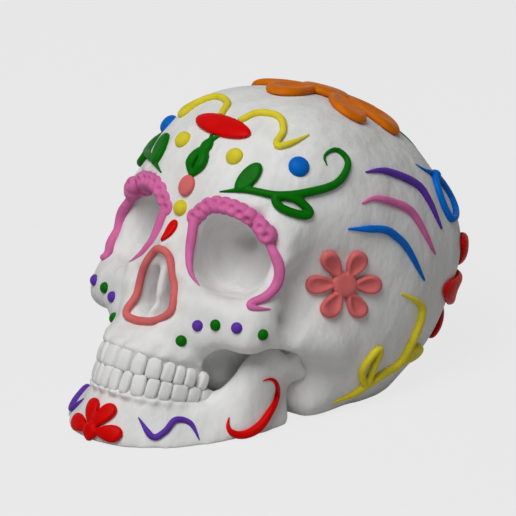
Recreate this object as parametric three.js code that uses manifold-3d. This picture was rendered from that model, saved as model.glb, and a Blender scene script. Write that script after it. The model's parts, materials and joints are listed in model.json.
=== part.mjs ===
// A sugar skull: a white skull in two castings, a cranium and a lower jaw, with raised coloured ornaments.
// Millimetres. The skull is shaped upright in its own frame, with the origin on the brow between the eyes,
// +x to its left, +y to the back and +z up, and is then tipped back to rest on its jaw and its base.
import * as THREE from "three";
import { mergeVertices } from "three/addons/utils/BufferGeometryUtils.js";
import Module from "manifold-3d";

const wasm = await Module();
wasm.setup();

// How the skull lies on the table: tipped back by degrees, with the rounded lower edge of its jaw cut flat.
const HEAD_TILT = 25;
const JAW_CUT = 6.5;

// The braincase, its middle behind the brow.
const DOME_HALF_WIDTH = 44;
const DOME_HALF_LENGTH = 53;
const DOME_HALF_HEIGHT = 43.5;
const DOME_MIDDLE = [0, 58.5, 4.5];

// An eye socket: its middle, its size and how far it is turned outwards.
const EYE_ACROSS = 21.2;
const EYE_DROP = 9.5;
const EYE_HALF_WIDTH = 13;
const EYE_HALF_HEIGHT = 13.3;
const EYE_DEPTH = 25;
const EYE_TURN = 27;

// The nose hole: two circles one over the other, the stretch between them, its depth and its dividing wall.
const NOSE_TOP = -18;
const NOSE_FOOT = -29;
const NOSE_TOP_RADIUS = 1.6;
const NOSE_FOOT_RADIUS = 7.6;
const NOSE_DEPTH = 14;
const SEPTUM = 1.8;

// The rows of teeth: half an ellipse seen from above, and the widths from the middle tooth to the last.
const ARCH_HALF_WIDTH = 18.5;
const ARCH_DEPTH = 25;
const ARCH_BACK = 18.5;
const ARCH_FRONT = ARCH_BACK - ARCH_DEPTH;
const TOOTH_DEPTH = 5;
const UPPER_TEETH = [6.2, 5.8, 5, 4.4, 3.8, 4.4, 3.6];
const LOWER_TEETH = [4.4, 4.4, 4.4, 4, 4.2, 5, 4.4, 4.6];
const LAST_UPPER_GAP = 1;
const BITE_FRONT = -57.2;
const BITE_RISE = 0.16;
const BITE_GAP = 0.3;
const PALATE_FRONT = -50.5;
const UPPER_GUM = -45.5;
const LOWER_GUM = -64.5;
const LOWER_GUM_RISE = 0.1;

// The lower edge of the jaw from the chin to its rear corner, and its thickness there.
const JAW_EDGE = [[0, -0.5, -77], [10, 0.5, -77], [19.5, 7.5, -74], [26, 20, -68], [28, 40, -56]];
const JAW_EDGE_RADII = [6, 6, 5.5, 5.5, 4];
const JAW_CLEARANCE = 0.6;

// The nets laid over the clay: their finest step, the room round the clay, and the size of slivers taken out.
const CRANIUM_GRID = 4.1;
const JAW_GRID = 4;
const GRID_ROOM = 7;
const SLIVER = 0.05;

// Ornaments: the gap left round the clay, how high their undersides are drawn over it, and how high a bead
// stands for its width.
const GLUE_GAP = 0.3;
const ICING_LIFT = 0.4;
const BEAD_RISE = 0.75;
const NOSE_RING = 2.4;
const NOSE_RING_SETBACK = 2;
const NOSE_RING_CORNER = 1.12;

// A flower's petals: where they start, for the size of its heart, and their width for their reach.
const PETAL_ROOT = 0.6;
const PETAL_WIDTH = 0.55;

// Sections of the ornaments: [share of the width or of the outline, share of the height].
const BEAD = [[-0.5, 0], [-0.4, 0.65], [0, 1], [0.4, 0.65], [0.5, 0]];
const DOME = [[1, 0], [0.85, 0.62], [0.35, 1]];
const CUSHION = [[0.3, 0], [1, 0], [0.85, 0.7], [0.4, 1]];
const DIMPLE = [[0.4, 0], [1, 0], [0.82, 0.95], [0.25, 0.6]];

const BONE = 0xd9d9d7;
const RED = 0xe10000;
const GREEN = 0x006e00;
const YELLOW = 0xe1d232;
const BLUE = 0x0064d2;
const PURPLE = 0x5f32aa;
const PINK = 0xd764a5;
const CORAL = 0xdc6969;
const ORANGE = 0xe6780a;

// Clay shapes, each a function of x, y and z that gives the distance to its surface, negative inside.

function ball([cx, cy, cz], [rx, ry, rz], power = 2) {
  return (x, y, z) => {
    const ux = Math.abs(x - cx) / rx;
    const uy = Math.abs(y - cy) / ry;
    const uz = Math.abs(z - cz) / rz;
    const sum = ux ** power + uy ** power + uz ** power;
    const reach = Math.max(sum, 1e-9) ** (1 / power);
    const slope = Math.hypot(ux ** (power - 1) / rx, uy ** (power - 1) / ry, uz ** (power - 1) / rz);
    return ((reach - 1) * reach ** (power - 1)) / Math.max(slope, 1e-9);
  };
}

function rod([ax, ay, az], [bx, by, bz], ra, rb) {
  const dx = bx - ax;
  const dy = by - ay;
  const dz = bz - az;
  const length2 = dx * dx + dy * dy + dz * dz;
  return (x, y, z) => {
    const along = ((x - ax) * dx + (y - ay) * dy + (z - az) * dz) / length2;
    const t = Math.min(1, Math.max(0, along));
    return Math.hypot(x - ax - t * dx, y - ay - t * dy, z - az - t * dz) - (ra + t * (rb - ra));
  };
}

function chain(points, radii) {
  const rods = points.slice(1).map((p, i) => rod(points[i], p, radii[i], radii[i + 1]));
  return (x, y, z) => Math.min(...rods.map((r) => r(x, y, z)));
}

// A pear-shaped hole along y, from one radius at the top to another at the foot, as deep as the given y.
function pear(top, foot, topRadius, footRadius, depth) {
  const flat = rod([0, 0, top], [0, 0, foot], topRadius, footRadius);
  return (x, y, z) => Math.max(flat(x, 0, z), y - depth);
}

// All that lies below a plane that rises from the front teeth to the back.
function below(front, rise) {
  return (x, y, z) => (z - front - rise * (y - ARCH_FRONT)) / Math.hypot(1, rise);
}

function blend(a, b, k) {
  const h = Math.max(k - Math.abs(a - b), 0) / k;
  return Math.min(a, b) - (h * h * k) / 4;
}

const add = (shape, k) => ({ shape, k, sign: 1 });
const cut = (shape, k) => ({ shape, k, sign: -1 });

// Clay pressed together in order, the same on both sides of the skull.
function sculpt(lumps) {
  return (x, y, z) => {
    const side = Math.abs(x);
    let d = 1e3;
    for (const { shape, k, sign } of lumps) {
      d = sign * blend(sign * d, shape(side, y, z), k);
    }
    return d;
  };
}

// A shape turned about an upright axis through a point, its back swinging towards the middle.
function turned(shape, [cx, cy], degrees) {
  const angle = THREE.MathUtils.degToRad(degrees);
  const [c, s] = [Math.cos(angle), Math.sin(angle)];
  return (x, y, z) => shape(cx + (x - cx) * c + (y - cy) * s, cy - (x - cx) * s + (y - cy) * c, z);
}

const EYE = [EYE_ACROSS, 6, -EYE_DROP];
const atEye = (across, y, up) => [EYE[0] + across, y, EYE[2] + up];
const alike = (count, radius) => Array(count).fill(radius);

// The rim round an eye socket, in four stretches.
const EYE_RIM_TOP = [atEye(-18, 9, 9.5), atEye(-8, 5.5, 13), atEye(3, 9, 12.5), atEye(9.5, 15, 9.5)];
const EYE_RIM_OUTER = [atEye(9.5, 15, 9.5), atEye(12.5, 19.5, 0.5), atEye(12, 16, -10.5)];
const EYE_RIM_FOOT = [atEye(12, 15, -14.5), atEye(6, 9.5, -18.5), atEye(-6, 6, -17.5)];
const EYE_RIM_INNER = [atEye(-6, 6, -17.5), atEye(-12, 4.5, -7.5), atEye(-15, 7, 2.5)];

// Clay for the cranium: upper jaw, braincase, face core, rims of the eyes, cheekbones, then the hollows.
const craniumField = sculpt([
  add(ball([0, ARCH_BACK - 5, PALATE_FRONT], [ARCH_HALF_WIDTH + 1, ARCH_DEPTH - 4.5, 13], 2.6), 1),
  cut(below(PALATE_FRONT, BITE_RISE), 2),
  add(ball(DOME_MIDDLE, [DOME_HALF_WIDTH, DOME_HALF_LENGTH, DOME_HALF_HEIGHT], 2.05), 1),
  add(ball([0, 36.8, 5], [34, 34, 36]), 14),
  add(ball([15, 38.5, 5], [23, 32, 36], 2.1), 10),
  add(ball([0, 71, -10], [41.5, 41.5, 35], 2.1), 12),
  add(ball([18.6, 87, 10.6], [18, 18, 18]), 8),
  add(ball([0, 63, -26], [40, 32, 31], 2.5), 10),
  cut(ball([56, 28, -10], [20, 24, 20]), 10),
  add(ball([0, 30, -14], [33, 18, 27], 2.8), 5),
  add(ball([0, 38, -38], [20, 25, 19], 2.8), 5),
  add(ball([12, 12, -33], [12, 9, 9], 2.4), 4),
  add(chain(EYE_RIM_TOP, alike(4, 4.5)), 6),
  add(chain(EYE_RIM_OUTER, alike(3, 4.5)), 5),
  add(chain(EYE_RIM_FOOT, [4.5, 4.5, 4]), 4),
  add(chain(EYE_RIM_INNER, [4, 3.5, 4]), 4),
  add(ball([30, 13.5, -31.5], [7, 6.5, 8], 2.4), 4),
  add(rod([28, 12.5, -32], [18, 8, -37], 4.5, 4.5), 4),
  add(chain([[34, 15, -32], [37.5, 23, -31], [39.5, 36, -31], [39.5, 50, -28]], [4.5, 4, 3.5, 4.5]), 4),
  add(ball([28, 42, -21], [10.5, 18, 10]), 8),
  cut(ball([ARCH_HALF_WIDTH + 8.5, ARCH_BACK + 3.5, UPPER_GUM - 0.5], [9, 14, 9]), 2),
  add(rod([0, 11, -3], [0, 1.4, -15.5], 6, 6), 5),
  add(chain([[8, 5, -16], [12, 6, -28], [10, 5, -38]], [3.5, 4, 4]), 4),
  add(ball([7, 11, -22], [6, 5, 9]), 4),
  cut(turned(ball(EYE, [EYE_HALF_WIDTH, EYE_DEPTH, EYE_HALF_HEIGHT], 2.4), EYE, EYE_TURN), 2.5),
  cut(pear(NOSE_TOP, NOSE_FOOT, NOSE_TOP_RADIUS, NOSE_FOOT_RADIUS, NOSE_DEPTH), 2),
]);

// Clay for the lower jaw: its lower edge, the gum under the teeth, chin, rising branch and joint.
const gumPoint = (angle, z) => archPoint(angle).add(new THREE.Vector3(0, 4, z)).toArray();
const GUM_LINE = [gumPoint(0, -66), gumPoint(0.5, -66), gumPoint(0.95, -65), gumPoint(1.45, -62)];
const jawClay = sculpt([
  add(chain(JAW_EDGE, JAW_EDGE_RADII), 1),
  add(chain(GUM_LINE, alike(4, 4.5)), 8),
  add(rod(GUM_LINE.at(-1), [22, 28, -58], 4.5, 4.5), 8),
  add(ball([0, -3, -76], [9, 4.5, 6]), 5),
  add(ball([29.5, 33, -48], [4.5, 11.5, 19], 2.4), 6),
  add(rod([28.5, 26, -43], [23, 22, -57], 3.5, 3.5), 5),
  add(rod([30, 38, -44], [33, 43, -33], 4.5, 4.5), 5),
]);
const jawField = (x, y, z) => Math.max(jawClay(x, y, z), JAW_CLEARANCE - craniumField(x, y, z));

// A grid that is finest round its centre and opens out away from there, reaching four times its step
// at the opening distance.
function openingGrid({ centre, step, opening, low, high }) {
  const squeeze = (distance) => {
    let q = distance;
    for (let i = 0; i < 20; i += 1) {
      q -= (q + q ** 3 / opening ** 2 - distance) / (1 + (3 * q ** 2) / opening ** 2);
    }
    return q;
  };
  const from = low.map((value, axis) => squeeze(value - centre[axis]));
  const to = high.map((value, axis) => squeeze(value - centre[axis]));
  const count = from.map((q, axis) => Math.ceil((to[axis] - q) / step) + 2);
  const start = from.map((q, axis) => (q + to[axis] - (count[axis] - 1) * step) / 2);
  const at = (i, j, k) => {
    const q = new THREE.Vector3(start[0] + i * step, start[1] + j * step, start[2] + k * step);
    return q.multiplyScalar(1 + q.lengthSq() / opening ** 2).add(new THREE.Vector3(...centre));
  };
  return { count, at };
}

function eachOf([nx, ny, nz], visit) {
  for (let k = 0; k < nz; k += 1) {
    for (let j = 0; j < ny; j += 1) {
      for (let i = 0; i < nx; i += 1) visit(i, j, k);
    }
  }
}

// A cell's edges, as pairs of its corners, and the corners round each of its faces. A corner's number holds
// its place along x, y and z, one bit each.
const CORNERS = [...Array(8).keys()];
const EDGES = [1, 2, 4].flatMap((bit) => CORNERS.filter((c) => !(c & bit)).map((c) => [c, c + bit]));
const FACES = [[1, 2, 4], [2, 4, 1], [4, 1, 2]].flatMap(([bit, across, up]) =>
  [0, bit].map((side) => [side, side + across, side + across + up, side + up]),
);
const edgeBetween = (a, b) => EDGES.findIndex((edge) => edge.includes(a) && edge.includes(b));

// The sheet of the surface that each crossed edge of a cell lies on. Where a face is crossed four times, the
// sheets part between its two inner corners.
function sheetsOf(inside) {
  const sheet = [...EDGES.keys()];
  const link = (a, b) => {
    const old = sheet[a];
    sheet.forEach((s, edge) => {
      if (s === old) sheet[edge] = sheet[b];
    });
  };
  for (const corners of FACES) {
    const sides = corners.map((c, n) => edgeBetween(c, corners[(n + 1) % 4]));
    const crossed = sides.filter((edge) => inside[EDGES[edge][0]] !== inside[EDGES[edge][1]]);
    if (crossed.length === 2) link(...crossed);
    if (crossed.length < 4) continue;
    corners.forEach((c, n) => {
      if (inside[c]) link(sides[n], sides[(n + 3) % 4]);
    });
  }
  return sheet;
}

// The surface of a field as a net of quads: a point for each sheet of the surface in each cell of the grid.
function skin(field, { count, at }) {
  const [nx, ny, nz] = count;
  const id = (i, j, k) => i + nx * (j + ny * k);
  const points = [];
  const values = [];
  eachOf(count, (i, j, k) => {
    const p = at(i, j, k);
    points.push(p);
    values.push(field(p.x, p.y, p.z));
  });
  const cornerOffset = CORNERS.map((c) => id(c & 1, (c >> 1) & 1, c >> 2));
  const netPoints = [];
  const netPointOf = new Map();
  eachOf([nx - 1, ny - 1, nz - 1], (i, j, k) => {
    const cell = id(i, j, k);
    const corners = cornerOffset.map((offset) => cell + offset);
    const inside = corners.map((corner) => values[corner] < 0);
    if (inside.every((here) => here === inside[0])) return;
    const sheet = sheetsOf(inside);
    const crossings = new Map();
    EDGES.forEach((edge, e) => {
      const [a, b] = edge.map((c) => corners[c]);
      if (values[a] < 0 === values[b] < 0) return;
      const crossing = points[a].clone().lerp(points[b], values[a] / (values[a] - values[b]));
      crossings.set(sheet[e], [...(crossings.get(sheet[e]) ?? []), crossing]);
      netPointOf.set(`${cell} ${e}`, netPoints.length + [...crossings.keys()].indexOf(sheet[e]));
    });
    for (const group of crossings.values()) {
      const mean = group.reduce((sum, p) => sum.add(p), new THREE.Vector3()).divideScalar(group.length);
      netPoints.push(settle(field, mean, 0));
    }
  });
  const index = [];
  const addQuad = ([a, b, c, d], flip) => {
    const acIsShort = netPoints[a].distanceTo(netPoints[c]) < netPoints[b].distanceTo(netPoints[d]);
    const loop = acIsShort ? [a, b, c, a, c, d] : [b, c, d, b, d, a];
    index.push(...(flip ? loop.reverse() : loop));
  };
  const strides = [id(1, 0, 0), id(0, 1, 0), id(0, 0, 1)];
  eachOf(count.map((n) => n - 2), (i, j, k) => {
    const start = id(i + 1, j + 1, k + 1);
    const inside = values[start] < 0;
    strides.forEach((stride, axis) => {
      if (inside === values[start + stride] < 0) return;
      const [p, q] = [(axis + 1) % 3, (axis + 2) % 3];
      const around = [[1, 1], [0, 1], [0, 0], [1, 0]].map(([back, down]) => {
        const corner = (back << p) + (down << q);
        const edge = edgeBetween(corner, corner + (1 << axis));
        return netPointOf.get(`${start - back * strides[p] - down * strides[q]} ${edge}`);
      });
      addQuad(around, !inside);
    });
  });
  const geometry = new THREE.BufferGeometry().setFromPoints(netPoints);
  geometry.setIndex(index);
  return geometry;
}

// The field's slope at a point, by small steps each way.
function slope(field, p) {
  const e = 0.05;
  return new THREE.Vector3(
    field(p.x + e, p.y, p.z) - field(p.x - e, p.y, p.z),
    field(p.x, p.y + e, p.z) - field(p.x, p.y - e, p.z),
    field(p.x, p.y, p.z + e) - field(p.x, p.y, p.z - e),
  ).divideScalar(2 * e);
}

// Moves a point along the slope until it lies at the given height over the surface.
function settle(field, p, height) {
  for (let i = 0; i < 6; i += 1) {
    const g = slope(field, p);
    const step = (field(p.x, p.y, p.z) - height) / Math.max(g.lengthSq(), 0.05);
    p.addScaledVector(g, -Math.max(-1.5, Math.min(1.5, step)));
  }
  return p;
}

function solid(geometry) {
  const bare = new THREE.BufferGeometry().copy(geometry);
  bare.deleteAttribute("normal");
  bare.deleteAttribute("uv");
  const merged = mergeVertices(bare, 1e-4);
  return new wasm.Manifold(
    new wasm.Mesh({
      numProp: 3,
      vertProperties: merged.attributes.position.array,
      triVerts: new Uint32Array(merged.index.array),
    }),
  );
}

// A solid's surface, with its slivers taken out.
function geometryOf(manifold) {
  const mesh = manifold.asOriginal().simplify(SLIVER).getMesh();
  const geometry = new THREE.BufferGeometry();
  geometry.setAttribute("position", new THREE.BufferAttribute(new Float32Array(mesh.vertProperties), 3));
  geometry.setIndex(new THREE.BufferAttribute(new Uint32Array(mesh.triVerts), 1));
  geometry.computeVertexNormals();
  return geometry;
}

// Clay swollen by the gap that is kept round it.
function swollen(geometry) {
  const grown = geometry.clone();
  grown.computeVertexNormals();
  const { position, normal } = grown.attributes;
  for (let i = 0; i < position.count; i += 1) {
    const p = new THREE.Vector3().fromBufferAttribute(position, i);
    p.addScaledVector(new THREE.Vector3().fromBufferAttribute(normal, i), GLUE_GAP);
    position.setXYZ(i, p.x, p.y, p.z);
  }
  return solid(grown);
}

// The skull at rest: tipped back, its brow as high over the table as the cut edge of the jaw leaves it.
const head = new THREE.Group();
head.rotation.x = THREE.MathUtils.degToRad(-HEAD_TILT);
const restingDepth = (p) => -new THREE.Vector3(...p).applyEuler(head.rotation).z;
const jawReach = JAW_EDGE.map((p, i) => restingDepth(p) + JAW_EDGE_RADII[i]);
head.position.set(0, 0, Math.max(...jawReach) - JAW_CUT);
head.updateMatrix();

// What lies under the table's surface, in the skull's frame.
const TABLE = 4 * (DOME_HALF_WIDTH + DOME_HALF_LENGTH);
const underTable = new THREE.BoxGeometry(TABLE, TABLE, TABLE);
underTable.translate(0, 0, -TABLE / 2);
underTable.applyMatrix4(head.matrix.clone().invert());

function place(name, geometry, color, mirrored = false) {
  const material = new THREE.MeshStandardMaterial({ color, roughness: 0.55 });
  const mesh = new THREE.Mesh(geometry, material);
  mesh.name = name;
  if (mirrored) mesh.scale.x = -1;
  head.add(mesh);
}

function placePair(name, geometry, color) {
  place(`${name}_left`, geometry, color);
  place(`${name}_right`, geometry, color, true);
}

// A sketch plane in the skull's frame, seen from a direction, with its origin on the brow.
function sketchPlane(right, up) {
  return { right, up, toward: new THREE.Vector3().crossVectors(right, up) };
}

const FRONT = sketchPlane(new THREE.Vector3(1, 0, 0), new THREE.Vector3(0, 0, 1));
const TOP = sketchPlane(new THREE.Vector3(1, 0, 0), new THREE.Vector3(0, 1, 0));
const BACK = sketchPlane(new THREE.Vector3(-1, 0, 0), new THREE.Vector3(0, 0, 1));
const QUARTER = quarterPlane(45, 19.45);
const REAR = quarterPlane(130, 15);

// The plane that faces a viewer who stands round to the skull's left, with the skull at rest.
function quarterPlane(turn, height) {
  const [a, e] = [turn, height].map(THREE.MathUtils.degToRad);
  const right = new THREE.Vector3(Math.cos(a), Math.sin(a), 0);
  const toward = new THREE.Vector3(Math.sin(a) * Math.cos(e), -Math.cos(a) * Math.cos(e), Math.sin(e));
  const upright = new THREE.Quaternion().copy(head.quaternion).invert();
  return sketchPlane(right.applyQuaternion(upright), toward.applyQuaternion(upright).cross(right));
}

// Where a sketch point lands on the clay, coming from the viewer, lifted to a height over it.
function drape(plane, field, u, v, height) {
  const p = new THREE.Vector3().addScaledVector(plane.right, u).addScaledVector(plane.up, v);
  p.addScaledVector(plane.toward, 160);
  let nearest = p.clone();
  let least = Infinity;
  for (let i = 0; i < 300; i += 1) {
    const d = field(p.x, p.y, p.z);
    if (d < least) {
      least = d;
      nearest = p.clone();
    }
    if (d < 0.05) break;
    p.addScaledVector(plane.toward, -Math.max(0.1, 0.6 * d));
  }
  return settle(field, nearest, height);
}

// Sketch points that were measured from a spot on the skull.
function sketchFrom(plane, spot, points) {
  return points.map(([u, v]) => [u + plane.right.dot(spot), v + plane.up.dot(spot)]);
}

// A closed skin through rings of points. Its ends are drawn to a point, unless the rings run in a loop.
function loft(rings, loop = false) {
  const sides = rings[0].length;
  const points = rings.flat();
  const index = [];
  const spans = loop ? rings.length : rings.length - 1;
  for (let i = 0; i < spans; i += 1) {
    const next = (i + 1) % rings.length;
    for (let j = 0; j < sides; j += 1) {
      const [a, b] = [i * sides + j, i * sides + ((j + 1) % sides)];
      const [d, c] = [next * sides + j, next * sides + ((j + 1) % sides)];
      index.push(a, b, d, b, c, d);
    }
  }
  if (!loop) {
    const middle = (ring) => ring.reduce((sum, p) => sum.add(p), new THREE.Vector3()).divideScalar(sides);
    points.push(middle(rings[0]), middle(rings.at(-1)));
    const top = (rings.length - 1) * sides;
    for (let j = 0; j < sides; j += 1) {
      const k = (j + 1) % sides;
      index.push(k, j, points.length - 2, top + j, top + k, points.length - 1);
    }
  }
  const geometry = new THREE.BufferGeometry().setFromPoints(points);
  geometry.setIndex(index);
  return solid(geometry);
}

// A bead of icing along a sketched curve, tapering through the given widths.
function stroke(plane, points, widths, options = {}) {
  const { field = craniumField, steps = 8, loop = false, rise = BEAD_RISE } = options;
  const curve = new THREE.CatmullRomCurve3(points.map(([u, v]) => new THREE.Vector3(u, v, 0)), loop);
  const path = curve.getSpacedPoints(steps).map((p) => drape(plane, field, p.x, p.y, 0));
  const rings = path.slice(0, loop ? steps : steps + 1).map((p, i) => {
    const before = path[i > 0 ? i - 1 : loop ? steps - 1 : 0];
    const after = path[Math.min(i + 1, steps)];
    const normal = slope(field, p).normalize();
    const side = after.clone().sub(before).cross(normal).normalize();
    const share = (i / steps) * (widths.length - 1);
    const k = Math.min(Math.floor(share), widths.length - 2);
    const width = THREE.MathUtils.lerp(widths[k], widths[k + 1], share - k);
    return BEAD.map(([across, height]) =>
      settle(field, p.clone().addScaledVector(side, across * width), ICING_LIFT + height * rise * width),
    );
  });
  return loft(rings, loop);
}

// A raised pad inside a sketched outline: rings drawn in to its middle, each at a share of its height.
function pad(plane, outline, height, { field = craniumField, rings = DOME } = {}) {
  const middle = outline.reduce(([a, b], [u, v]) => [a + u / outline.length, b + v / outline.length], [0, 0]);
  const ringAt = ([scale, share]) =>
    outline.map((spot) => {
      const [u, v] = spot.map((value, axis) => THREE.MathUtils.lerp(middle[axis], value, scale));
      return drape(plane, field, u, v, ICING_LIFT + share * height);
    });
  return loft(rings.map(ringAt));
}

// A round dot, drawn flat on the clay where its middle lands.
function dot(plane, [u, v], radius, height, { field = craniumField, sides = 8 } = {}) {
  const middle = drape(plane, field, u, v, 0);
  const normal = slope(field, middle).normalize();
  const across = new THREE.Vector3().crossVectors(plane.up, normal).normalize();
  const along = new THREE.Vector3().crossVectors(normal, across);
  const ringAt = ([scale, share]) =>
    Array.from({ length: sides }, (_, i) => {
      const angle = (2 * Math.PI * i) / sides;
      const p = middle.clone().addScaledVector(across, scale * radius * Math.cos(angle));
      p.addScaledVector(along, scale * radius * Math.sin(angle));
      return settle(field, p, ICING_LIFT + share * height);
    });
  return loft(DOME.map(ringAt));
}

function oval([u, v], halfWidth, halfHeight, sides = 8) {
  return Array.from({ length: sides }, (_, i) => {
    const angle = (2 * Math.PI * i) / sides;
    return [u + halfWidth * Math.cos(angle), v + halfHeight * Math.sin(angle)];
  });
}

// A petal's outline, narrow at its root and round at its tip.
function petal([u, v], turn, length, width, sides = 8) {
  const angle = THREE.MathUtils.degToRad(turn);
  const [c, s] = [Math.cos(angle), Math.sin(angle)];
  return Array.from({ length: sides }, (_, i) => {
    const way = (2 * Math.PI * i) / sides;
    const along = (length / 2) * (1 - Math.cos(way));
    const across = (-width / 2) * Math.sin(way) * (0.45 + (0.55 * along) / length);
    return [u + along * c - across * s, v + along * s + across * c];
  });
}

// Petals round a heart, each rooted inside it and given by its turn and by its reach from the middle.
function flower(plane, [u, v], petalList, { heart, height, sides = 6, ...seat }) {
  const petals = petalList.map(([turn, reach]) => {
    const angle = THREE.MathUtils.degToRad(turn);
    const start = PETAL_ROOT * heart;
    const root = [u + start * Math.cos(angle), v + start * Math.sin(angle)];
    return pad(plane, petal(root, turn, reach - start, PETAL_WIDTH * reach, sides), height, seat);
  });
  const middle = pad(plane, oval([u, v], heart, heart), height * 1.15, { ...seat, rings: CUSHION });
  return join(middle, ...petals);
}

const alikePetals = (reach, turns) => turns.map((turn) => [turn, reach]);

// A point on the row of teeth at an angle from the middle, and the angle after an arc from the middle.
function archPoint(angle) {
  return new THREE.Vector3(ARCH_HALF_WIDTH * Math.sin(angle), ARCH_BACK - ARCH_DEPTH * Math.cos(angle), 0);
}

function archAngle(arc) {
  const step = 0.002;
  let angle = 0;
  let run = 0;
  while (run < arc) {
    run += archPoint(angle).distanceTo(archPoint(angle + step));
    angle += step;
  }
  return angle;
}

// A tooth: a box swollen towards a ball.
function tooth(width, depth, height) {
  const geometry = new THREE.BoxGeometry(2, 2, 2, 2, 1, 2);
  const corners = geometry.attributes.position;
  for (let i = 0; i < corners.count; i += 1) {
    const v = new THREE.Vector3().fromBufferAttribute(corners, i);
    const swell = (v.x ** 4 + v.y ** 4 + v.z ** 4) ** -0.25;
    v.multiplyScalar(swell).multiply(new THREE.Vector3(width / 2, depth / 2, height / 2));
    corners.setXYZ(i, v.x, v.y, v.z);
  }
  return geometry;
}

// Both halves of a row of teeth, from the gum to the bite, with a gap before the last one.
function teeth(widths, { gum, gumRise, bite, lastGap }) {
  const row = [];
  let arc = 0;
  widths.forEach((width, i) => {
    if (i === widths.length - 1) arc += lastGap;
    const angle = archAngle(arc + width / 2);
    arc += width;
    const spot = archPoint(angle);
    const back = spot.y - ARCH_FRONT;
    const [gumHere, biteHere] = [gum + gumRise * back, bite + BITE_RISE * back];
    const lean = Math.atan2(ARCH_DEPTH * Math.sin(angle), ARCH_HALF_WIDTH * Math.cos(angle));
    for (const side of [-1, 1]) {
      const one = tooth(width * 1.02, TOOTH_DEPTH, Math.abs(gumHere - biteHere));
      one.rotateZ(side * lean);
      one.translate(side * spot.x, spot.y, (gumHere + biteHere) / 2);
      row.push(solid(one));
    }
  });
  return wasm.Manifold.union(row);
}

// The thin wall that divides the nose hole, its front edge sloping back from top to foot.
function septum() {
  const back = NOSE_DEPTH + 2;
  const foot = NOSE_FOOT - NOSE_FOOT_RADIUS - 1;
  const outline = new THREE.Shape();
  outline.moveTo(back, NOSE_TOP + 4);
  outline.lineTo(0, NOSE_TOP + 1);
  outline.quadraticCurveTo(0.5, NOSE_FOOT + 2, 4.5, foot);
  outline.lineTo(back, foot);
  const plate = new THREE.ExtrudeGeometry(outline, { depth: SEPTUM, bevelEnabled: false, curveSegments: 4 });
  plate.translate(0, 0, -SEPTUM / 2);
  plate.rotateX(Math.PI / 2);
  plate.rotateZ(Math.PI / 2);
  return solid(plate);
}

const upperTeeth = teeth(UPPER_TEETH, {
  gum: UPPER_GUM, gumRise: 0, bite: BITE_FRONT + BITE_GAP / 2, lastGap: LAST_UPPER_GAP,
});
const lowerTeeth = teeth(LOWER_TEETH, {
  gum: LOWER_GUM, gumRise: LOWER_GUM_RISE, bite: BITE_FRONT - BITE_GAP / 2, lastGap: 0,
});

// The box for the net of each casting, from its named sizes.
const domeSize = [DOME_HALF_WIDTH, DOME_HALF_LENGTH, DOME_HALF_HEIGHT].map((half) => half + GRID_ROOM);
const craniumGrid = openingGrid({
  centre: [0, 6, -20],
  step: CRANIUM_GRID,
  opening: 70,
  low: [-domeSize[0], ARCH_FRONT - GRID_ROOM, BITE_FRONT - GRID_ROOM],
  high: domeSize.map((half, axis) => DOME_MIDDLE[axis] + half),
});
const jawEdgeBox = new THREE.Box3().setFromPoints(JAW_EDGE.map((p) => new THREE.Vector3(...p)));
jawEdgeBox.expandByScalar(Math.max(...JAW_EDGE_RADII) + GRID_ROOM);
const jawGrid = openingGrid({
  centre: [0, 2, -60],
  step: JAW_GRID,
  opening: 100,
  low: [-jawEdgeBox.max.x, jawEdgeBox.min.y, jawEdgeBox.min.z],
  high: [jawEdgeBox.max.x, jawEdgeBox.max.y, -EYE_DROP - EYE_HALF_HEIGHT],
});
const craniumSkin = skin(craniumField, craniumGrid);
const jawSkin = skin(jawField, jawGrid);
const roundCranium = swollen(craniumSkin);
const table = solid(underTable);
place("cranium", geometryOf(solid(craniumSkin).add(septum()).add(upperTeeth).subtract(table)), BONE);
place("mandible", geometryOf(solid(jawSkin).subtract(roundCranium).add(lowerTeeth).subtract(table)), BONE);

// Joins the solids of an ornament and trims off what would touch the clay or the table.
const keptClear = wasm.Manifold.union([roundCranium, swollen(jawSkin), table]);
function join(...solids) {
  const bodies = wasm.Manifold.union(solids).subtract(keptClear).decompose();
  const largest = bodies.reduce((a, b) => (a.volume() > b.volume() ? a : b));
  return geometryOf(largest);
}

// Brow and nose. The ring follows the edge of the nose hole.
place("brow_dot", join(dot(FRONT, [0, 0], 2.6, 2)), YELLOW);
place("brow_oval", join(pad(FRONT, oval([0, 7.6], 3.3, 3.8), 2)), CORAL);
place("nose_drop", join(pad(FRONT, petal([0, -12.4], 90, 8, 3.4), 1)), RED);

function noseRing() {
  const radii = [NOSE_FOOT_RADIUS, NOSE_TOP_RADIUS].map((radius) => radius + NOSE_RING_SETBACK);
  const waist = Math.asin((radii[0] - radii[1]) / (NOSE_TOP - NOSE_FOOT));
  const round = (middle, radius, angle) => [radius * Math.cos(angle), middle + radius * Math.sin(angle)];
  const side = [
    round(NOSE_FOOT, radii[0] * NOSE_RING_CORNER, -Math.PI / 4),
    ...[0, waist].map((angle) => round(NOSE_FOOT, radii[0], angle)),
    ...[waist, Math.PI / 4].map((angle) => round(NOSE_TOP, radii[1], angle)),
  ];
  const foot = [0, NOSE_FOOT - radii[0]];
  const tip = [0, NOSE_TOP + radii[1]];
  const otherSide = side.map(([x, z]) => [-x, z]).reverse();
  return stroke(FRONT, [foot, ...side, tip, ...otherSide], [NOSE_RING, NOSE_RING], { steps: 20, loop: true });
}
place("nose_ring", join(noseRing()), CORAL);

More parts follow.
